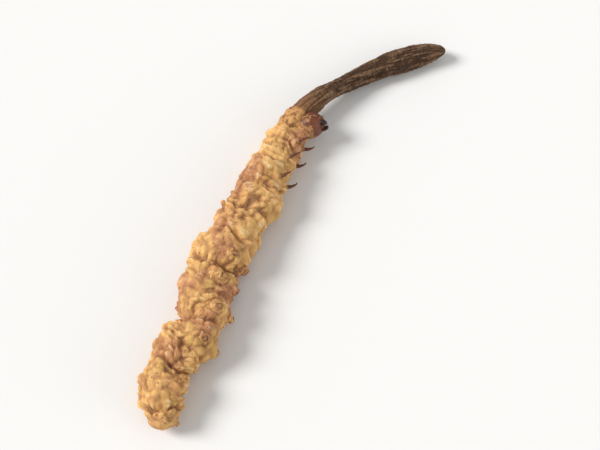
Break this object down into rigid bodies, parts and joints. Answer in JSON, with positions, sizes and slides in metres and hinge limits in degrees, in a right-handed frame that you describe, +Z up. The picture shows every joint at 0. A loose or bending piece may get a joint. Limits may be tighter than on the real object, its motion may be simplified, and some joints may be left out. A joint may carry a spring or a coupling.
{
  "type": "dried cordyceps",
  "caption": "Dried cordyceps lying on its side: a ringed, lumpy larva body with stub legs and a hard head, and the fungus's dark club growing out of the head.",
  "frame": {"origin": "middle of the box round the whole piece, on the surface it lies on", "axes": "+X from the tail tip towards the club's tip, +Z up, -Y the side that the legs point to"},
  "size_m": [0.0606, 0.0164, 0.0058],
  "materials": {
    "larva_skin": "dry, dull, golden brown with dark creases",
    "head_shell": "hard, red-brown, slightly glossy",
    "club_skin": "dry, dull, dark brown, wrinkled lengthwise"
  },
  "bodies": {
    "root": {"larva": "larva_skin", "head": "head_shell", "stroma": "club_skin"}
  },
  "joints": []
}
